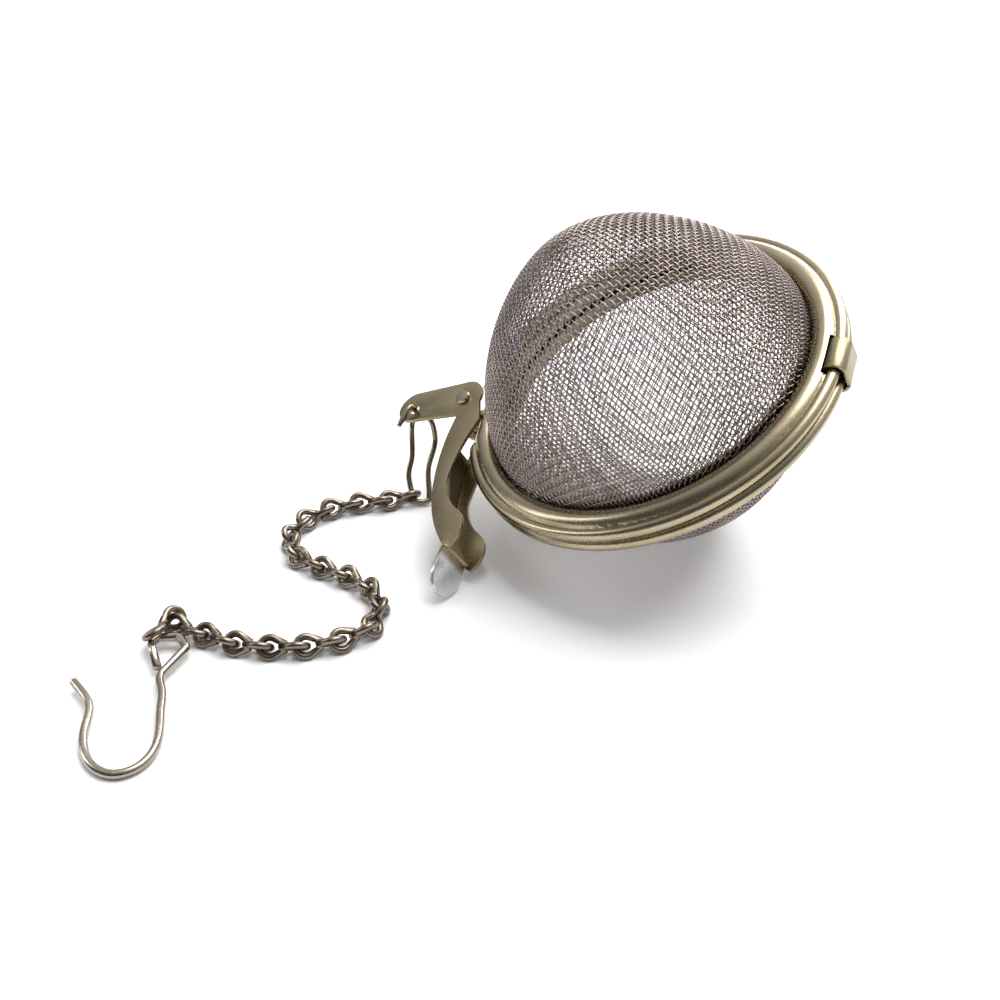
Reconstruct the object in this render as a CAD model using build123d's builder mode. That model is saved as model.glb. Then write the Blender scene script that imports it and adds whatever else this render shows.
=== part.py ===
"""Tea infuser: a hinged ball of two woven-mesh domes with a swing latch, a wire loop, a chain of
figure-eight links and a hook. Millimetres, +Z up. The ball lies tilted on the table."""

import math
import os

from build123d import *

os.makedirs("parts", exist_ok=True)

# placing on the table: the row's origin is at the middle of the footprint
SHIFT = (3.460, -124.614, 0.0)
BALL_CENTRE = (22.03, 137.68, 25.64)
BALL_X = (0.86230785, -0.30733375, 0.40245638)
BALL_UP = (-0.47970076, -0.24118438, 0.84363338)

# ball
RIM_RADIUS = 30.0
BEAD_RADIUS = 0.95
BEAD_AT = RIM_RADIUS - BEAD_RADIUS
BEAD_Z = 1.10
SHEET = 0.50
MESH_RADIUS = 25.40
MESH_THICK = 0.50
MESH_BASE_Z = 1.50
MESH_HEIGHT = 26.40
MESH_SHAPE = 1.60
UPPER_MESH_SHAPE = 1.53
COLLAR_RADIUS = 24.70
FLARE_RADIUS = 26.85

# hinge strap
HINGE_ANGLE = -12.6
STRAP_WIDTH = 5.20
STRAP_INNER = 1.15
STRAP_SHEET = 0.50
SLOT_HALF = 3.40
SLOT_CLEAR = 1.88

# latch
PIN_AT = (-31.15, 2.90)
PIN_RADIUS = 0.80
PIN_HOLE = 0.88
CHEEK_IN = 3.00
CHEEK_OUT = 3.60
ARM_HOLE = (-40.98, 3.21)
ARM_HOLE_RADIUS = 0.95

# wires
LOOP_WIRE = 0.475
LINK_WIRE = 0.50
LINK_HALF_LENGTH = 3.255
LINK_HALF_WIDTH = 1.35
HOOK_WIRE = 0.575


def place(x, y, z):
    return (x + SHIFT[0], y + SHIFT[1], z + SHIFT[2])


ball = Plane(origin=place(*BALL_CENTRE), x_dir=BALL_X, z_dir=BALL_UP)
section = Plane(origin=ball.origin, x_dir=ball.x_dir, z_dir=ball.y_dir * -1)
ball_axis = Axis(ball.origin, section.y_dir)

hinge_x = ball.x_dir * math.cos(math.radians(HINGE_ANGLE)) + ball.y_dir * math.sin(math.radians(HINGE_ANGLE))
hinge_y = ball.z_dir.cross(hinge_x)
hinge_section = Plane(origin=ball.origin, x_dir=hinge_x, z_dir=hinge_y * -1)


def mesh_radius(height, base=MESH_RADIUS, top=MESH_HEIGHT, shape=MESH_SHAPE):
    return base * (1 - (height / top) ** shape) ** (1 / shape)


def mesh_height(radius, base=MESH_RADIUS, top=MESH_HEIGHT, shape=MESH_SHAPE):
    return top * (1 - (radius / base) ** shape) ** (1 / shape)


# the domes' outer and inner curves, as short straight runs
INNER_BASE = MESH_RADIUS - MESH_THICK
INNER_TOP = MESH_HEIGHT - MESH_THICK
STEPS = (0.0, 2.0, 4.0, 6.0, 8.0, 10.0, 12.0, 14.0, 16.0, 17.8, 19.4, 20.8)


def outer_curve(shape):
    return [(mesh_radius(h, shape=shape), MESH_BASE_Z + h) for h in STEPS] + [
        (r, MESH_BASE_Z + mesh_height(r, shape=shape)) for r in (8.6, 7.0, 5.4, 4.0, 2.6, 1.2, 0.0)
    ]


def inner_curve(shape):
    return [(mesh_radius(h, INNER_BASE, INNER_TOP, shape), MESH_BASE_Z + h) for h in STEPS[:-1]] + [
        (r, MESH_BASE_Z + mesh_height(r, INNER_BASE, INNER_TOP, shape)) for r in (9.0, 7.4, 5.8, 4.1, 2.6, 1.2, 0.0)
    ]


OUTER, INNER = outer_curve(MESH_SHAPE), inner_curve(MESH_SHAPE)
UPPER_OUTER, UPPER_INNER = outer_curve(UPPER_MESH_SHAPE), inner_curve(UPPER_MESH_SHAPE)


def side(points, sign):
    return [(r, sign * z) for r, z in points]


# ---------------------------------------------------------------- upper half
with BuildPart() as upper_mesh_dome:
    with BuildSketch(section):
        with BuildLine():
            Polyline(*side(UPPER_OUTER, 1))
            Line((0.0, MESH_BASE_Z + MESH_HEIGHT), (0.0, MESH_BASE_Z + INNER_TOP))
            Polyline(*side(UPPER_INNER, 1)[::-1])
            Line((INNER_BASE, MESH_BASE_Z), (INNER_BASE, MESH_BASE_Z - SHEET))
            Line((INNER_BASE, MESH_BASE_Z - SHEET), (FLARE_RADIUS, MESH_BASE_Z - SHEET))
            Line((FLARE_RADIUS, MESH_BASE_Z - SHEET), (FLARE_RADIUS, MESH_BASE_Z))
            Line((FLARE_RADIUS, MESH_BASE_Z), (MESH_RADIUS, MESH_BASE_Z))
        make_face()
    revolve(axis=ball_axis)
upper_mesh_dome.part.label = "upper_mesh_dome"

with BuildPart() as upper_rim:
    with BuildSketch(section):
        with BuildLine():
            ThreePointArc((25.5, 2.15), (27.0, 2.80), (28.6, 1.90))
            Line((28.6, 1.90), (28.3, 1.45))
            ThreePointArc((28.3, 1.45), (27.15, 2.25), (25.95, 1.80))
            Line((25.95, 1.80), (25.95, 1.50))
            Line((25.95, 1.50), (25.5, 1.50))
            Line((25.5, 1.50), (25.5, 2.15))
        make_face()
    revolve(axis=ball_axis)
    with BuildSketch(hinge_section):
        with Locations((BEAD_AT, BEAD_Z)):
            Circle(SLOT_CLEAR)
    extrude(amount=SLOT_HALF, both=True, mode=Mode.SUBTRACT)
    with BuildSketch(section):
        with Locations((BEAD_AT, BEAD_Z)):
            Circle(BEAD_RADIUS)
    revolve(axis=ball_axis)
    with BuildSketch(ball):
        with Locations(PIN_AT):
            Circle(4.0)
        with BuildLine():
            Polyline((-34, -9), (-29.2, -8.6), (-28.0, -6.4), (-26.7, -3.3), (-26.2, 0.4), (-27, 2), (-34, 2), close=True)
        make_face()
    extrude(amount=6, mode=Mode.SUBTRACT)
upper_rim.part.label = "upper_rim"

with BuildPart() as upper_mesh_ring:
    with BuildSketch(section):
        with BuildLine():
            Polyline(
                (COLLAR_RADIUS, 0.45), (FLARE_RADIUS, 0.45), (FLARE_RADIUS, 1.0), (COLLAR_RADIUS, 1.0),
                (COLLAR_RADIUS, 2.55), (COLLAR_RADIUS - 0.45, 2.55), (COLLAR_RADIUS - 0.45, 0.45), close=True,
            )
        make_face()
    revolve(axis=ball_axis)
upper_mesh_ring.part.label = "upper_mesh_ring"

# ---------------------------------------------------------------- lower half
with BuildPart() as lower_mesh_dome:
    with BuildSketch(section):
        with BuildLine():
            Polyline(*side(OUTER, -1))
            Line((0.0, -MESH_BASE_Z - MESH_HEIGHT), (0.0, -MESH_BASE_Z - INNER_TOP))
            Polyline(*side(INNER, -1)[::-1])
            Line((INNER_BASE, -MESH_BASE_Z), (INNER_BASE, SHEET - MESH_BASE_Z))
            Line((INNER_BASE, SHEET - MESH_BASE_Z), (FLARE_RADIUS, SHEET - MESH_BASE_Z))
            Line((FLARE_RADIUS, SHEET - MESH_BASE_Z), (FLARE_RADIUS, -MESH_BASE_Z))
            Line((FLARE_RADIUS, -MESH_BASE_Z), (MESH_RADIUS, -MESH_BASE_Z))
        make_face()
    revolve(axis=ball_axis)
lower_mesh_dome.part.label = "lower_mesh_dome"

with BuildPart() as lower_rim:
    with BuildSketch(section):
        with BuildLine():
            ThreePointArc((25.5, -2.15), (27.0, -2.80), (28.6, -1.90))
            Line((28.6, -1.90), (28.3, -1.45))
            ThreePointArc((28.3, -1.45), (27.15, -2.25), (25.95, -1.80))
            Line((25.95, -1.80), (25.95, -1.50))
            Line((25.95, -1.50), (25.5, -1.50))
            Line((25.5, -1.50), (25.5, -2.15))
        make_face()
    revolve(axis=ball_axis)
    with BuildSketch(hinge_section):
        with Locations((BEAD_AT, -BEAD_Z)):
            Circle(SLOT_CLEAR)
    extrude(amount=SLOT_HALF, both=True, mode=Mode.SUBTRACT)
    with BuildSketch(section):
        with Locations((BEAD_AT, -BEAD_Z)):
            Circle(BEAD_RADIUS)
    revolve(axis=ball_axis)
lower_rim.part.label = "lower_rim"

with BuildPart() as lower_mesh_ring:
    with BuildSketch(section):
        with BuildLine():
            Polyline(
                (COLLAR_RADIUS, -0.45), (FLARE_RADIUS, -0.45), (FLARE_RADIUS, -1.0), (COLLAR_RADIUS, -1.0),
                (COLLAR_RADIUS, -2.9), (COLLAR_RADIUS - 0.45, -2.9), (COLLAR_RADIUS - 0.45, -0.45), close=True,
            )
        make_face()
    revolve(axis=ball_axis)
lower_mesh_ring.part.label = "lower_mesh_ring"

# ---------------------------------------------------------------- hinge strap, rolled round both beads
with BuildPart() as hinge_strap:
    with BuildSketch(hinge_section):
        with Locations((BEAD_AT, 0)):
            SlotCenterToCenter(2 * BEAD_Z, 2 * (STRAP_INNER + STRAP_SHEET), rotation=90)
            SlotCenterToCenter(2 * BEAD_Z, 2 * STRAP_INNER, rotation=90, mode=Mode.SUBTRACT)
    extrude(amount=STRAP_WIDTH / 2, both=True)
    with BuildSketch(hinge_section):
        with Locations((BEAD_AT + STRAP_INNER + STRAP_SHEET / 2, -1.55)):
            Rectangle(1.4, 0.25)
    extrude(amount=STRAP_WIDTH, both=True, mode=Mode.SUBTRACT)
hinge_strap.part.label = "hinge_strap"

# ---------------------------------------------------------------- latch lug, pin and lever
with BuildPart() as latch_lug:
    with BuildSketch(ball.offset(-2.70)):
        with Locations(PIN_AT):
            Circle(2.3)
        with BuildLine():
            Polyline((PIN_AT[0], PIN_AT[1] + 2.3), (-28.85, PIN_AT[1] + 2.1), (-28.95, PIN_AT[1] - 2.5), (PIN_AT[0], PIN_AT[1] - 2.3), close=True)
        make_face()
        with Locations(PIN_AT):
            Circle(PIN_RADIUS, mode=Mode.SUBTRACT)
    extrude(amount=0.62)
latch_lug.part.label = "latch_lug"

with BuildPart() as latch_pivot_pin:
    with BuildSketch(ball.offset(-CHEEK_OUT - 0.07)):
        with Locations(PIN_AT):
            Circle(PIN_RADIUS)
    extrude(amount=2 * CHEEK_OUT + 0.14)
    with BuildSketch(ball.offset(CHEEK_OUT + 0.07)):
        with Locations(PIN_AT):
            Circle(1.35)
    extrude(amount=0.40, taper=25)
    with BuildSketch(ball.offset(-CHEEK_OUT - 0.07)):
        with Locations(PIN_AT):
            Circle(1.35)
    extrude(amount=-0.40, taper=25)
latch_pivot_pin.part.label = "latch_pivot_pin"

FINGER_OUT = [(-31.5, -0.62), (-32.78, -7.0), (-32.84, -14.5), (-32.0, -19.6), (-28.3, -27.2)]
FINGER_IN = [(-27.2, -27.9), (-25.5, -24.4), (-27.0, -21.1), (-29.6, -17.6), (-30.4, -14.0), (-29.2, -8.2), (-26.9, -3.0)]
TAB_ROOT = (-28.45, -26.9)
TAB_WAY = (-0.205, -0.979)

with BuildPart() as latch_lever:
    with BuildSketch(ball.offset(CHEEK_IN)):
        with BuildLine():
            ThreePointArc(FINGER_OUT[0], FINGER_OUT[1], FINGER_OUT[2])
            ThreePointArc(FINGER_OUT[2], FINGER_OUT[3], FINGER_OUT[4])
            Line(FINGER_OUT[4], FINGER_IN[0])
            ThreePointArc(FINGER_IN[0], FINGER_IN[1], FINGER_IN[2])
            ThreePointArc(FINGER_IN[2], FINGER_IN[3], FINGER_IN[4])
            ThreePointArc(FINGER_IN[4], FINGER_IN[5], FINGER_IN[6])
            Line(FINGER_IN[6], FINGER_OUT[0])
        make_face()
        with Locations(PIN_AT):
            Circle(3.6)
        with BuildLine():
            Polyline(FINGER_OUT[0], (-34.3, 1.5), PIN_AT, (-27.9, 2.0), FINGER_IN[6], close=True)
        make_face()
        with BuildLine():
            Line((-31.0, 6.45), (-41.0, 7.05))
            ThreePointArc((-41.0, 7.05), (-44.25, 4.15), (-42.2, 1.0))
            Line((-42.2, 1.0), (-31.5, -0.62))
            Line((-31.5, -0.62), (-31.0, 6.45))
        make_face()
        with Locations(PIN_AT):
            Circle(PIN_HOLE, mode=Mode.SUBTRACT)
        with Locations(ARM_HOLE):
            Circle(ARM_HOLE_RADIUS, mode=Mode.SUBTRACT)
    extrude(amount=CHEEK_OUT - CHEEK_IN)
    with BuildSketch(ball.offset(-CHEEK_OUT)):
        with BuildLine():
            ThreePointArc(FINGER_OUT[0], FINGER_OUT[1], FINGER_OUT[2])
            ThreePointArc(FINGER_OUT[2], FINGER_OUT[3], FINGER_OUT[4])
            Line(FINGER_OUT[4], FINGER_IN[0])
            ThreePointArc(FINGER_IN[0], FINGER_IN[1], FINGER_IN[2])
            ThreePointArc(FINGER_IN[2], FINGER_IN[3], FINGER_IN[4])
            ThreePointArc(FINGER_IN[4], FINGER_IN[5], FINGER_IN[6])
            Line(FINGER_IN[6], FINGER_OUT[0])
        make_face()
        with Locations(PIN_AT):
            Circle(3.4)
        with BuildLine():
            Polyline(FINGER_OUT[0], (-34.1, 1.5), PIN_AT, (-27.9, 2.0), FINGER_IN[6], close=True)
        make_face()
        with Locations(PIN_AT):
            Circle(PIN_HOLE, mode=Mode.SUBTRACT)
    extrude(amount=CHEEK_OUT - CHEEK_IN)
    # the web that joins the cheeks along the outer edge of the finger
    with BuildSketch(ball.offset(-CHEEK_OUT)):
        with BuildLine():
            ThreePointArc((-32.55, -5.6), (-32.78, -10.0), (-32.84, -14.5))
            ThreePointArc((-32.84, -14.5), FINGER_OUT[3], FINGER_OUT[4])
            Line(FINGER_OUT[4], (-27.75, -26.85))
            ThreePointArc((-27.75, -26.85), (-31.42, -19.45), (-32.24, -14.5))
            ThreePointArc((-32.24, -14.5), (-32.18, -10.0), (-31.95, -5.6))
            Line((-31.95, -5.6), (-32.55, -5.6))
        make_face()
    extrude(amount=2 * CHEEK_OUT)
    # the thumb tab, bent outwards from the end of the web
    with BuildSketch(
        Plane(
            origin=ball.from_local_coords((TAB_ROOT[0], TAB_ROOT[1], 0)),
            x_dir=ball.from_local_coords((TAB_ROOT[0] + TAB_WAY[0], TAB_ROOT[1] + TAB_WAY[1], 0))
            - ball.from_local_coords((TAB_ROOT[0], TAB_ROOT[1], 0)),
            z_dir=ball.from_local_coords((TAB_WAY[1], -TAB_WAY[0], 0)) - ball.from_local_coords((0, 0, 0)),
        )
    ):
        with BuildLine():
            Polyline((-0.3, -2.9), (3.2, -3.2))
            ThreePointArc((3.2, -3.2), (6.62, 0.0), (3.2, 3.2))
            Polyline((3.2, 3.2), (-0.3, 2.9), (-0.3, -2.9))
        make_face()
    extrude(amount=0.3, both=True)
latch_lever.part.label = "latch_lever"

# ---------------------------------------------------------------- wire loop on the lever's arm
LOOP_PATH = [
    place(-15.05, 150.9, 10.0),
    place(-14.95, 148.3, 6.6),
    place(-15.6, 146.3, 4.0),
    place(-14.35, 143.1, 0.66),
    place(-12.0, 143.2, 0.66),
    place(-12.2, 146.9, 4.9),
    place(-11.0, 149.9, 8.6),
    ball.from_local_coords((-38.2, 1.2, 1.7)),
    ball.from_local_coords((-40.98, 3.21, 1.7)),
    ball.from_local_coords((-40.98, 3.21, 4.9)),
    ball.from_local_coords((-42.6, -0.9, 4.5)),
]
with BuildPart() as wire_loop:
    with BuildLine():
        loop_line = FilletPolyline(*LOOP_PATH, radius=0.75)
    with BuildSketch(Plane(origin=loop_line @ 0, z_dir=loop_line % 0)):
        Circle(LOOP_WIRE)
    sweep(path=loop_line)
wire_loop.part.label = "wire_loop"

# ---------------------------------------------------------------- chain: middle of each link (x, y, z), then its turn, dip and roll in degrees
LINKS = [
    (-16.815, 142.973, 1.457, 203.23, 0.87, 46.46),
    (-21.533, 141.592, 1.559, 189.79, -0.17, 44.96),
    (-26.196, 140.198, 1.528, 204.72, -3.46, 42.58),
    (-30.144, 137.397, 1.535, 226.70, -3.65, 42.27),
    (-32.581, 133.236, 1.567, 254.76, -5.09, 41.88),
    (-32.379, 128.498, 1.549, 289.95, -4.70, 41.17),
    (-29.534, 124.668, 1.471, 324.75, -2.58, 40.81),
    (-25.385, 122.131, 1.456, 331.64, 0.42, 45.73),
    (-21.306, 119.453, 1.492, 321.46, 2.07, 47.29),
    (-18.226, 115.713, 1.527, 297.46, 4.43, 49.29),
    (-17.558, 111.009, 1.542, 260.72, 4.96, 49.65),
    (-20.148, 107.138, 1.576, 213.52, 4.96, 47.96),
    (-24.569, 105.247, 1.524, 194.12, 2.48, 46.53),
    (-29.409, 104.619, 1.507, 181.02, 2.08, 46.42),
    (-34.296, 105.045, 1.496, 169.39, 1.70, 46.32),
    (-38.992, 106.464, 1.514, 157.19, 1.27, 46.19),
    (-43.518, 108.356, 1.551, 159.17, -2.45, 41.56),
    (-46.387, 108.070, 2.488, 240.54, -2.14, -53.82),
]


def link_plane(x, y, z, turn, dip, roll):
    t, d, r = math.radians(turn), math.radians(dip), math.radians(roll)
    along = Vector(math.cos(t) * math.cos(d), math.sin(t) * math.cos(d), -math.sin(d))
    left = Vector(-math.sin(t), math.cos(t), 0)
    up = along.cross(left)
    normal = up * math.cos(r) - left * math.sin(r)
    return Plane(origin=place(x, y, z), x_dir=along, z_dir=normal)


# one link along x: a bend at each end, the second one turned a quarter about the length, and a pressed waist between them
middle = LINK_HALF_WIDTH - LINK_HALF_LENGTH
away, off = 0.35 - middle, 0.36
lean = math.atan2(off, away) + math.acos(LINK_HALF_WIDTH / math.hypot(away, off))
arc_x, arc_y = middle + LINK_HALF_WIDTH * math.cos(lean), LINK_HALF_WIDTH * math.sin(lean)
leg = math.hypot(0.35 - arc_x, off - arc_y)

with BuildPart() as plain_link:
    for bend in (Plane.XY, Plane(origin=(0, 0, 0), x_dir=(-1, 0, 0), z_dir=(0, 1, 0))):
        along_leg = bend.from_local_coords((0.35 - arc_x, off - arc_y, 0)) - bend.from_local_coords((0, 0, 0))
        along_other = bend.from_local_coords((0.35 - arc_x, arc_y - off, 0)) - bend.from_local_coords((0, 0, 0))
        with BuildSketch(Plane(origin=bend.from_local_coords((arc_x, arc_y, 0)), z_dir=along_leg)):
            Circle(LINK_WIRE)
        revolve(
            axis=Axis(bend.from_local_coords((middle, 0, 0)), bend.z_dir),
            revolution_arc=360 - 2 * math.degrees(lean),
        )
        with BuildSketch(Plane(origin=bend.from_local_coords((arc_x, arc_y, 0)), z_dir=along_leg)):
            Circle(LINK_WIRE)
        extrude(amount=leg)
        with BuildSketch(Plane(origin=bend.from_local_coords((arc_x, -arc_y, 0)), z_dir=along_other)):
            Circle(LINK_WIRE)
        extrude(amount=leg)
    with BuildSketch(Plane.YZ.offset(-0.45)):
        Circle(0.78)
    extrude(amount=0.9)


def chain_link(plane):
    with BuildPart() as link:
        with Locations(plane):
            add(plain_link.part)
    return link


link_01 = chain_link(link_plane(*LINKS[0]))
link_02 = chain_link(link_plane(*LINKS[1]))
link_03 = chain_link(link_plane(*LINKS[2]))
link_04 = chain_link(link_plane(*LINKS[3]))
link_05 = chain_link(link_plane(*LINKS[4]))
link_06 = chain_link(link_plane(*LINKS[5]))
link_07 = chain_link(link_plane(*LINKS[6]))
link_08 = chain_link(link_plane(*LINKS[7]))
link_09 = chain_link(link_plane(*LINKS[8]))
link_10 = chain_link(link_plane(*LINKS[9]))
link_11 = chain_link(link_plane(*LINKS[10]))
link_12 = chain_link(link_plane(*LINKS[11]))
link_13 = chain_link(link_plane(*LINKS[12]))
link_14 = chain_link(link_plane(*LINKS[13]))
link_15 = chain_link(link_plane(*LINKS[14]))
link_16 = chain_link(link_plane(*LINKS[15]))
link_17 = chain_link(link_plane(*LINKS[16]))
link_18 = chain_link(link_plane(*LINKS[17]))
chain = [
    link_01, link_02, link_03, link_04, link_05, link_06, link_07, link_08, link_09,
    link_10, link_11, link_12, link_13, link_14, link_15, link_16, link_17, link_18,
]
for number, link in enumerate(chain, 1):
    link.part.label = "chain_link_%02d" % number

# ---------------------------------------------------------------- hook
HOOK_RISE = 0.0477


def hook_point(x, y):
    return place(x, y, 0.60 + HOOK_RISE * (y - 82.0))


EYE_PATH = [
    hook_point(-45.35, 100.5),
    hook_point(-47.5, 105.0),
    hook_point(-46.85, 106.35),
    hook_point(-44.1, 106.55),
    hook_point(-42.45, 104.3),
    hook_point(-44.42, 99.55),
]
SHANK_PATH = [
    hook_point(-44.42, 99.55),
    hook_point(-43.64, 96.38),
    hook_point(-42.82, 92.97),
    hook_point(-42.25, 90.6),
    hook_point(-41.82, 88.38),
    hook_point(-41.75, 86.72),
    hook_point(-42.05, 85.3),
    hook_point(-42.80, 83.98),
    hook_point(-44.04, 83.05),
    hook_point(-45.71, 82.72),
    hook_point(-47.49, 83.3),
    hook_point(-49.13, 84.68),
    hook_point(-50.33, 86.6),
    hook_point(-51.08, 88.62),
    hook_point(-51.42, 90.63),
    hook_point(-51.70, 92.48),
    hook_point(-52.40, 94.25),
    hook_point(-53.85, 96.09),
    hook_point(-55.5, 97.85),
]
with BuildPart() as hook:
    with BuildLine() as hook_line:
        eye = FilletPolyline(*EYE_PATH, radius=0.9)
        Spline(*SHANK_PATH, tangents=(eye % 1, Vector(-1.65, 1.76, 0.084)))
    hook_wire = hook_line.wires()[0]
    with BuildSketch(Plane(origin=hook_wire @ 0, z_dir=hook_wire % 0)):
        Circle(HOOK_WIRE)
    sweep(path=hook_wire)
hook.part.label = "hook"

export_step(upper_mesh_dome.part, "parts/upper_mesh_dome.step")
export_step(upper_rim.part, "parts/upper_rim.step")
export_step(upper_mesh_ring.part, "parts/upper_mesh_ring.step")
export_step(lower_mesh_dome.part, "parts/lower_mesh_dome.step")
export_step(lower_rim.part, "parts/lower_rim.step")
export_step(lower_mesh_ring.part, "parts/lower_mesh_ring.step")
export_step(hinge_strap.part, "parts/hinge_strap.step")
export_step(latch_lug.part, "parts/latch_lug.step")
export_step(latch_pivot_pin.part, "parts/latch_pivot_pin.step")
export_step(latch_lever.part, "parts/latch_lever.step")
export_step(wire_loop.part, "parts/wire_loop.step")
for link in chain:
    export_step(link.part, "parts/" + link.part.label + ".step")
export_step(hook.part, "parts/hook.step")
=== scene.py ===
"""Looks of the tea infuser: woven wire domes, pressed rims, latch, chain and hook, in metres, on a pale floor."""

import math

import bpy
import numpy as np
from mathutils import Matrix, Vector


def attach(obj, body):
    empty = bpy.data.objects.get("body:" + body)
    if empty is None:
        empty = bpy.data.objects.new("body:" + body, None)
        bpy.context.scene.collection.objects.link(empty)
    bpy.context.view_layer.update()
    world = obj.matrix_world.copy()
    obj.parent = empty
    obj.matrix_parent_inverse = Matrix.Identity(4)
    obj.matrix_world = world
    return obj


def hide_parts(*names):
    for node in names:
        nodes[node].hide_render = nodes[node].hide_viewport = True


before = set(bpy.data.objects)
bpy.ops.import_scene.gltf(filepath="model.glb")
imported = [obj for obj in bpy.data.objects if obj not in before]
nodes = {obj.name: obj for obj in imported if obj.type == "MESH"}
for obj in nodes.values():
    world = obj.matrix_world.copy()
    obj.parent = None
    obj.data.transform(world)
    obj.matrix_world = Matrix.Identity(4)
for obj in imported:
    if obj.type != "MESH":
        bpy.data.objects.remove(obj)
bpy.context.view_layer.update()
MM = 0.001
scene = bpy.context.scene

# ------------------------------------------------------------------ ball frame
ORIGIN = np.array([25.490, 13.066, 25.64])
EX = np.array([0.86230785, -0.30733375, 0.40245638])
EZ = np.array([-0.47970076, -0.24118438, 0.84363338])
EX /= np.linalg.norm(EX)
EZ -= EX * (EX @ EZ)
EZ /= np.linalg.norm(EZ)
EY = np.cross(EZ, EX)


def to_row(p):
    return (ORIGIN + p[:, :1] * EX + p[:, 1:2] * EY + p[:, 2:3] * EZ) * MM


# ------------------------------------------------------------------ materials
def new_tree(name):
    m = bpy.data.materials.new(name)
    m.use_nodes = True
    t = m.node_tree
    t.nodes.clear()
    return m, t


def metal(name, base, dark, rough=(0.22, 0.38), patch=180.0, grain=2600.0, bump=0.12, stretch=(1, 1, 1), metallic=1.0, tint=None, tint_amount=0.0, depth=0.00002):
    """Steel with soft patches of colour, fine drawn or brushed grain and a slightly uneven surface."""
    m, t = new_tree(name)
    n, l = t.nodes, t.links
    out = n.new("ShaderNodeOutputMaterial")
    bsdf = n.new("ShaderNodeBsdfPrincipled")
    l.new(bsdf.outputs[0], out.inputs[0])
    bsdf.inputs["Metallic"].default_value = metallic
    bsdf.inputs["IOR"].default_value = 1.5
    tc = n.new("ShaderNodeTexCoord")
    big = n.new("ShaderNodeTexNoise")
    big.inputs["Scale"].default_value = patch
    big.inputs["Detail"].default_value = 4.0
    l.new(tc.outputs["Object"], big.inputs["Vector"])
    ramp = n.new("ShaderNodeValToRGB")
    ramp.color_ramp.elements[0].position, ramp.color_ramp.elements[1].position = 0.32, 0.68
    ramp.color_ramp.elements[0].color = (*dark, 1)
    ramp.color_ramp.elements[1].color = (*base, 1)
    l.new(big.outputs["Fac"], ramp.inputs["Fac"])
    colour = ramp.outputs["Color"]
    if tint is not None:
        spots = n.new("ShaderNodeTexNoise")
        spots.inputs["Scale"].default_value = patch * 2.7
        spots.inputs["Detail"].default_value = 2.0
        l.new(tc.outputs["Object"], spots.inputs["Vector"])
        where = n.new("ShaderNodeMapRange")
        where.inputs["From Min"].default_value, where.inputs["From Max"].default_value = 0.50, 0.66
        where.inputs["To Max"].default_value = tint_amount
        l.new(spots.outputs["Fac"], where.inputs["Value"])
        mix = n.new("ShaderNodeMix")
        mix.data_type = "RGBA"
        mix.inputs["B"].default_value = (*tint, 1)
        l.new(where.outputs["Result"], mix.inputs["Factor"])
        l.new(colour, mix.inputs["A"])
        colour = mix.outputs["Result"]
    l.new(colour, bsdf.inputs["Base Color"])
    mapping = n.new("ShaderNodeMapping")
    mapping.inputs["Scale"].default_value = stretch
    l.new(tc.outputs["Object"], mapping.inputs["Vector"])
    fine = n.new("ShaderNodeTexNoise")
    fine.inputs["Scale"].default_value = grain
    fine.inputs["Detail"].default_value = 3.0
    l.new(mapping.outputs["Vector"], fine.inputs["Vector"])
    r = n.new("ShaderNodeMapRange")
    r.inputs["From Min"].default_value, r.inputs["From Max"].default_value = 0.3, 0.7
    r.inputs["To Min"].default_value, r.inputs["To Max"].default_value = rough
    l.new(fine.outputs["Fac"], r.inputs["Value"])
    l.new(r.outputs["Result"], bsdf.inputs["Roughness"])
    b = n.new("ShaderNodeBump")
    b.inputs["Strength"].default_value = bump
    b.inputs["Distance"].default_value = depth
    l.new(fine.outputs["Fac"], b.inputs["Height"])
    l.new(b.outputs["Normal"], bsdf.inputs["Normal"])
    return m


weave_mat = metal("woven_wire", (0.40, 0.345, 0.30), (0.24, 0.20, 0.17), rough=(0.24, 0.42), patch=160, grain=3000, bump=0.05, tint=(0.40, 0.29, 0.38), tint_amount=0.45)
rim_mat = metal("pressed_rim", (0.44, 0.375, 0.25), (0.33, 0.28, 0.18), rough=(0.23, 0.31), patch=110, grain=3600, bump=0.02, tint=(0.42, 0.34, 0.37), tint_amount=0.25)
ring_mat = metal("mesh_ring", (0.42, 0.36, 0.27), (0.30, 0.26, 0.19), rough=(0.25, 0.40), patch=140, grain=2200, bump=0.10)
lever_mat = metal("lever_sheet", (0.36, 0.305, 0.19), (0.27, 0.225, 0.135), rough=(0.26, 0.36), patch=120, grain=3200, bump=0.03, stretch=(1.0, 0.25, 1.0), tint=(0.34, 0.25, 0.19), tint_amount=0.3)
pin_mat = metal("pin_steel", (0.44, 0.36, 0.27), (0.30, 0.24, 0.17), rough=(0.18, 0.30), patch=200, grain=2600, bump=0.08)
chain_mat = metal("chain_wire", (0.27, 0.225, 0.175), (0.16, 0.13, 0.10), rough=(0.20, 0.36), patch=260, grain=3200, bump=0.16)
hook_mat = metal("hook_wire", (0.44, 0.40, 0.335), (0.31, 0.275, 0.22), rough=(0.16, 0.30), patch=180, grain=3000, bump=0.10)
loop_mat = metal("loop_wire", (0.30, 0.26, 0.19), (0.20, 0.17, 0.12), rough=(0.16, 0.30), patch=200, grain=3000, bump=0.12)

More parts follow.
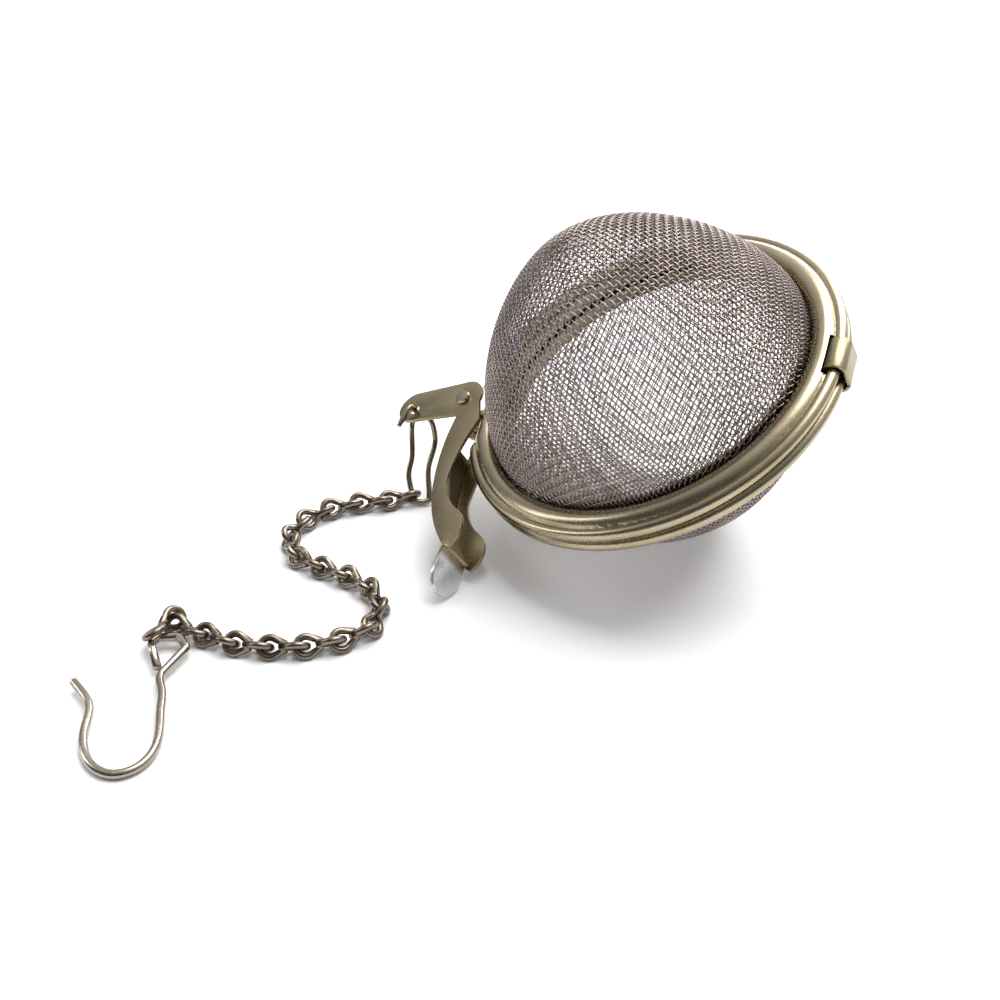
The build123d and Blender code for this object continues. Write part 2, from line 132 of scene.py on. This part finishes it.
# painted highlight: the thumb tab is painted a brighter grey than the rest of the lever, standing in for the
# reflection it catches where it faces up
t = lever_mat.node_tree
shader = next(n for n in t.nodes if n.type == "BSDF_PRINCIPLED")
colour = shader.inputs["Base Color"].links[0].from_socket
where = t.nodes.new("ShaderNodeTexCoord")
rel = t.nodes.new("ShaderNodeVectorMath")
rel.operation = "SUBTRACT"
rel.inputs[1].default_value = (-0.003390, -0.003210, 0.004630)
t.links.new(where.outputs["Object"], rel.inputs[0])
along = t.nodes.new("ShaderNodeVectorMath")
along.operation = "DOT_PRODUCT"
along.inputs[1].default_value = (-0.3356, -0.8382, -0.4304)
t.links.new(rel.outputs["Vector"], along.inputs[0])
# mask for the painted highlight, ramping in across the tab
tab_highlight_mask = t.nodes.new("ShaderNodeMapRange")
tab_highlight_mask.inputs["From Min"].default_value, tab_highlight_mask.inputs["From Max"].default_value = 0.0008, 0.0017
t.links.new(along.outputs["Value"], tab_highlight_mask.inputs["Value"])
# painted highlight: mixes the lever colour towards bright grey over the tab
painted_tab_highlight = t.nodes.new("ShaderNodeMix")
painted_tab_highlight.data_type = "RGBA"
painted_tab_highlight.inputs["B"].default_value = (0.62, 0.61, 0.63, 1)
t.links.new(tab_highlight_mask.outputs["Result"], painted_tab_highlight.inputs["Factor"])
t.links.new(colour, painted_tab_highlight.inputs["A"])
t.links.new(painted_tab_highlight.outputs["Result"], shader.inputs["Base Color"])

# ------------------------------------------------------------------ woven domes
PITCH = 0.84
WIRE = 0.128
WAVE = 0.132
SHAPES = {"upper": 1.53, "lower": 1.60}
R0, H0, BASE = 25.15, 26.15, 1.50
WARP_AT = math.radians(50.0)
CLIP = -0.35
N = 52


def outside(q, power):
    r = math.hypot(q[0], q[1])
    if q[2] <= 0:
        return r / R0 - 1
    return (r / R0) ** power + (q[2] / H0) ** power - 1


def normal_at(q, power):
    r = max(math.hypot(q[0], q[1]), 1e-6)
    gr = power * (r / R0) ** (power - 1) / R0
    gz = power * (max(q[2], 0) / H0) ** (power - 1) / H0
    v = np.array([gr * q[0] / r, gr * q[1] / r, gz])
    return v / np.linalg.norm(v)


def meridian(power):
    t = np.linspace(0, math.pi / 2, 4001)
    r = R0 * np.sin(t) ** (2 / power)
    h = H0 * np.cos(t) ** (2 / power)
    s = np.concatenate([[0], np.cumsum(np.hypot(np.diff(r), np.diff(h)))])
    return s, r, h


def quadrant(power):
    """Crossings of a square net drawn over the dome: warp number i, weft number j, both at least 0."""
    s, r, h = meridian(power)
    grid = {}
    for i in range(N):
        at = i * PITCH
        if at <= s[-1]:
            p = np.array([np.interp(at, s, r), 0.0, np.interp(at, s, h)])
        else:
            p = np.array([R0, 0.0, -(at - s[-1])])
        grid[(i, 0)] = p
        grid[(0, i)] = np.array([0.0, p[0], p[2]])
    for i in range(1, N):
        for j in range(1, i + 1):
            a, b, d = grid.get((i - 1, j)), grid.get((i, j - 1)), grid.get((i - 1, j - 1))
            if a is None or b is None or d is None or min(a[2], b[2]) < -3.0:
                continue
            mid = (a + b) / 2
            ab = b - a
            width = np.linalg.norm(ab)
            if width > 1.985 * PITCH:
                continue
            rad = math.sqrt(PITCH * PITCH - width * width / 4)
            up = normal_at(mid, power)
            ab /= width
            up = up - ab * (up @ ab)
            up /= np.linalg.norm(up)
            out = np.cross(ab, up)
            if out @ (mid - d) < 0:
                out = -out
            lo_a, hi_a = -1.3, 1.3
            f = lambda g: outside(mid + rad * (math.cos(g) * out + math.sin(g) * up), power)
            if f(lo_a) > 0 or f(hi_a) < 0:
                continue
            for _ in range(26):
                g = (lo_a + hi_a) / 2
                if f(g) > 0:
                    hi_a = g
                else:
                    lo_a = g
            q = mid + rad * (math.cos(g) * out + math.sin(g) * up)
            grid[(i, j)] = q
            if i != j:
                grid[(j, i)] = np.array([q[1], q[0], q[2]])
    return grid


def whole(grid, i, j):
    q = grid.get((abs(i), abs(j)))
    if q is None or q[2] < CLIP:
        return None
    return np.array([math.copysign(q[0], i) if i else 0.0, math.copysign(q[1], j) if j else 0.0, q[2]])


def tubes(paths):
    """Square-sided tubes along paths of (point, normal), as vertices and faces."""
    verts, faces = [], []
    base = 0
    for pts, nrm in paths:
        pts, nrm = np.array(pts), np.array(nrm)
        tan = np.gradient(pts, axis=0)
        tan /= np.linalg.norm(tan, axis=1)[:, None]
        side = np.cross(tan, nrm)
        side /= np.linalg.norm(side, axis=1)[:, None]
        up = np.cross(side, tan)
        k = len(pts)
        ring = [pts + WIRE * (math.cos(a) * side + math.sin(a) * up) for a in (math.pi / 4, 3 * math.pi / 4, 5 * math.pi / 4, 7 * math.pi / 4)]
        v = np.stack(ring, 1).reshape(-1, 3)
        verts.append(v)
        idx = np.arange(k - 1)[:, None] * 4
        for c in range(4):
            d = (c + 1) % 4
            faces.append(np.stack([base + idx[:, 0] + c, base + idx[:, 0] + d, base + idx[:, 0] + 4 + d, base + idx[:, 0] + 4 + c], 1))
        faces.append(np.array([[base + 3, base + 2, base + 1, base]]))
        e = base + (k - 1) * 4
        faces.append(np.array([[e, e + 1, e + 2, e + 3]]))
        base += 4 * k
    return np.concatenate(verts), np.concatenate(faces)


def weave(grid, family, power):
    paths = []
    for fixed in range(-N + 1, N):
        run = []
        for step in range(-N + 1, N):
            i, j = (step, fixed) if family == 0 else (fixed, step)
            q = whole(grid, i, j)
            if q is None:
                if len(run) > 2:
                    paths.append(run)
                run = []
                continue
            sign = 1 if (i + j + family) % 2 == 0 else -1
            nrm = normal_at(q, power)
            run.append((q + nrm * WAVE * sign, nrm, q))
        if len(run) > 2:
            paths.append(run)
    made = []
    for run in paths:
        pts, nrm = [], []
        for k, (p, nn, q) in enumerate(run):
            if k:
                pp, pn, pq = run[k - 1]
                m = (pq + q) / 2
                mn = pn + nn
                mn /= np.linalg.norm(mn)
                pts.append(m)
                nrm.append(mn)
            pts.append(p)
            nrm.append(nn)
        made.append((pts, nrm))
    return tubes(made)


def mesh_object(name, verts, faces, mat, smooth=True):
    me = bpy.data.meshes.new(name)
    me.vertices.add(len(verts))
    me.vertices.foreach_set("co", np.asarray(verts, np.float32).ravel())
    me.loops.add(faces.size)
    me.loops.foreach_set("vertex_index", faces.astype(np.int32).ravel())
    me.polygons.add(len(faces))
    me.polygons.foreach_set("loop_start", np.arange(0, faces.size, 4, dtype=np.int32))
    me.polygons.foreach_set("loop_total", np.full(len(faces), 4, np.int32))
    me.update(calc_edges=True)
    me.validate()
    me.polygons.foreach_set("use_smooth", np.full(len(me.polygons), smooth))
    me.materials.append(mat)
    o = bpy.data.objects.new(name, me)
    scene.collection.objects.link(o)
    return o


c, s_ = math.cos(WARP_AT), math.sin(WARP_AT)
for half, sign, node, body in (("upper", 1, "upper_mesh_dome", "lid"), ("lower", -1, "lower_mesh_dome", "lower_half")):
    net = quadrant(SHAPES[half])
    for family, word in ((0, "warp"), (1, "weft")):
        v, f = weave(net, family, SHAPES[half])
        v = np.stack([c * v[:, 0] - s_ * v[:, 1], s_ * v[:, 0] + c * v[:, 1], sign * (v[:, 2] + BASE)], 1)
        if sign < 0:
            f = f[:, ::-1]
        o = mesh_object(f"{half}_{word}_wires", to_row(v), f, weave_mat)
        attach(o, body)
        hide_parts(node)

# ------------------------------------------------------------------ wire loop, as one smoothly bent wire
SHIFT = np.array([3.460, -124.614, 0.0])
loop_path = [ORIGIN + x * EX + y * EY + z * EZ for x, y, z in ((-42.5, 3.3, 1.75), (-42.35, 0.8, 1.4))]
loop_path += [np.array(p) + SHIFT for p in ((-14.95, 148.3, 6.6), (-15.5, 146.3, 4.0), (-14.75, 143.9, 1.35), (-14.1, 143.12, 0.68), (-12.3, 143.2, 0.68), (-11.95, 143.9, 1.35), (-12.15, 146.9, 4.9), (-11.05, 149.8, 8.5))]
loop_path += [ORIGIN + x * EX + y * EY + z * EZ for x, y, z in ((-38.4, 1.5, 1.65), (-40.3, 2.95, 1.75), (-40.98, 3.21, 2.6), (-40.98, 3.21, 4.1), (-41.25, 2.5, 4.78), (-42.6, -0.9, 4.5))]


def smooth_tube(points, radius, sides=14, per=10):
    p = np.array(points)
    ends = np.concatenate([[2 * p[0] - p[1]], p, [2 * p[-1] - p[-2]]])
    line = []
    for k in range(1, len(ends) - 2):
        a, b, c_, d = ends[k - 1 : k + 3]
        for u in np.linspace(0, 1, per, endpoint=False):
            line.append(0.5 * (2 * b + (c_ - a) * u + (2 * a - 5 * b + 4 * c_ - d) * u * u + (3 * b - a - 3 * c_ + d) * u**3))
    line = np.array(line + [p[-1]])
    tan = np.gradient(line, axis=0)
    tan /= np.linalg.norm(tan, axis=1)[:, None]
    u = np.cross(tan[0], [0.3, 0.1, 0.9])
    rings = []
    for k in range(len(line)):
        u = u - tan[k] * (u @ tan[k])
        u /= np.linalg.norm(u)
        w = np.cross(tan[k], u)
        # the cut ends are slightly rounded
        inset = [0.0, 0.72, 0.93][min(k, len(line) - 1 - k, 2)] if min(k, len(line) - 1 - k) < 3 else 1.0
        inset = inset if min(k, len(line) - 1 - k) else 0.80
        rings.append([line[k] + radius * max(inset, 0.80) * (math.cos(q) * u + math.sin(q) * w) for q in np.arange(sides) * 2 * math.pi / sides])
    v = np.array(rings).reshape(-1, 3)
    f = []
    for k in range(len(line) - 1):
        for q in range(sides):
            r_ = (q + 1) % sides
            f.append((k * sides + q, k * sides + r_, (k + 1) * sides + r_, (k + 1) * sides + q))
    n_ = len(line) - 1
    f.append(tuple(range(sides - 1, -1, -1)))
    f.append(tuple(n_ * sides + q for q in range(sides)))
    return v, f


lv, lf = smooth_tube(loop_path, 0.475)
loop_mesh = bpy.data.meshes.new("wire_loop_bent")
loop_mesh.from_pydata((lv * MM).tolist(), [], lf)
loop_mesh.validate()
loop_mesh.polygons.foreach_set("use_smooth", np.array([len(q.vertices) == 4 for q in loop_mesh.polygons]))
loop_mesh.materials.append(loop_mat)
loop_obj = bpy.data.objects.new("wire_loop_bent", loop_mesh)
scene.collection.objects.link(loop_obj)
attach(loop_obj, "loop")
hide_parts("wire_loop")

# ------------------------------------------------------------------ CAD parts
looks = {
    "upper_rim": rim_mat, "lower_rim": rim_mat, "upper_mesh_ring": ring_mat, "lower_mesh_ring": ring_mat,
    "hinge_strap": lever_mat, "latch_lug": lever_mat, "latch_pivot_pin": pin_mat, "latch_lever": lever_mat,
    "wire_loop": loop_mat, "hook": hook_mat, "upper_mesh_dome": weave_mat, "lower_mesh_dome": weave_mat,
}
bevels = {"latch_lever": 0.10, "hinge_strap": 0.08, "latch_lug": 0.08, "latch_pivot_pin": 0.06, "upper_rim": 0.05, "lower_rim": 0.05, "upper_mesh_ring": 0.05, "lower_mesh_ring": 0.05}
for name, o in nodes.items():
    mat = looks.get(name, chain_mat)
    o.data.materials.clear()
    o.data.materials.append(mat)
    if o.hide_render:
        continue
    w = o.modifiers.new("weld", "WELD")
    w.merge_threshold = 0.000002
    if name in bevels:
        b = o.modifiers.new("soft_edges", "BEVEL")
        b.width = bevels[name] * MM
        b.segments = 2
        b.limit_method = "ANGLE"
        b.angle_limit = math.radians(40)
        b.use_clamp_overlap = True
    o.data.polygons.foreach_set("use_smooth", np.full(len(o.data.polygons), True))
    o.data.update()

# ------------------------------------------------------------------ floor, light, camera
floor_mesh = bpy.data.meshes.new("floor")
floor_mesh.from_pydata([(-6, -6, 0), (6, -6, 0), (6, 9, 0), (-6, 9, 0)], [], [(0, 1, 2, 3)])
floor = bpy.data.objects.new("floor", floor_mesh)
floor.location.z = -0.00002
scene.collection.objects.link(floor)
fm, ft = new_tree("pale_floor")
fo = ft.nodes.new("ShaderNodeOutputMaterial")
fb = ft.nodes.new("ShaderNodeBsdfPrincipled")
fb.inputs["Base Color"].default_value = (0.93, 0.93, 0.93, 1)
fb.inputs["Roughness"].default_value = 0.9
fb.inputs["Specular IOR Level"].default_value = 0.1
ft.links.new(fb.outputs[0], fo.inputs[0])
floor_mesh.materials.append(fm)

world = bpy.data.worlds.new("studio")
scene.world = world
world.use_nodes = True
wt = world.node_tree
wt.nodes.clear()
wo = wt.nodes.new("ShaderNodeOutputWorld")
bg = wt.nodes.new("ShaderNodeBackground")
wc = wt.nodes.new("ShaderNodeTexCoord")
toward = wt.nodes.new("ShaderNodeVectorMath")
toward.operation = "DOT_PRODUCT"
toward.inputs[1].default_value = (0.42, 0.52, 0.74)
wt.links.new(wc.outputs["Generated"], toward.inputs[0])
spread = wt.nodes.new("ShaderNodeMapRange")
spread.inputs["From Min"].default_value, spread.inputs["From Max"].default_value = -1.0, 1.0
wt.links.new(toward.outputs["Value"], spread.inputs["Value"])
wr = wt.nodes.new("ShaderNodeValToRGB")
wt.links.new(spread.outputs["Result"], wr.inputs["Fac"])
wr.color_ramp.interpolation = "EASE"
wr.color_ramp.elements[0].position, wr.color_ramp.elements[0].color = 0.42, (0.10, 0.10, 0.105, 1)
wr.color_ramp.elements[1].position, wr.color_ramp.elements[1].color = 0.95, (0.90, 0.89, 0.90, 1)
wt.links.new(wr.outputs["Color"], bg.inputs["Color"])
bg.inputs["Strength"].default_value = 1.0
wt.links.new(bg.outputs[0], wo.inputs[0])

sun_data = bpy.data.lights.new("soft_sun", "SUN")
sun_data.energy = 2.9
sun_data.angle = math.radians(50)
sun = bpy.data.objects.new("soft_sun", sun_data)
sun.rotation_mode = "QUATERNION"
sun.rotation_quaternion = Vector((-0.30, -0.28, -1.0)).to_track_quat("-Z", "Y")
scene.collection.objects.link(sun)


def area(name, at, to, size, power, colour=(1, 1, 1)):
    d = bpy.data.lights.new(name, "AREA")
    d.shape = "RECTANGLE"
    d.size, d.size_y = size
    d.energy = power
    d.color = colour
    o = bpy.data.objects.new(name, d)
    o.location = at
    o.rotation_mode = "QUATERNION"
    o.rotation_quaternion = (Vector(to) - Vector(at)).to_track_quat("-Z", "Y")
    scene.collection.objects.link(o)


area("back_strip", (0.30, 0.45, 0.30), (0, 0, 0.02), (0.50, 0.12), 1.6)
area("side_strip", (-0.45, 0.05, 0.22), (0, 0, 0.02), (0.10, 0.30), 0.5, (0.95, 0.93, 1.0))

cam_data = bpy.data.cameras.new("camera")
cam_data.lens = 36.0
cam_data.sensor_width = 36.0
cam_data.clip_start, cam_data.clip_end = 0.005, 40.0
cam = bpy.data.objects.new("camera", cam_data)
cam.location = (3.460 * MM, -124.614 * MM, 90.4 * MM)
cam.rotation_euler = (math.radians(58.0), 0.0, 0.0)
scene.collection.objects.link(cam)
scene.camera = cam
scene.view_settings.view_transform = "Standard"
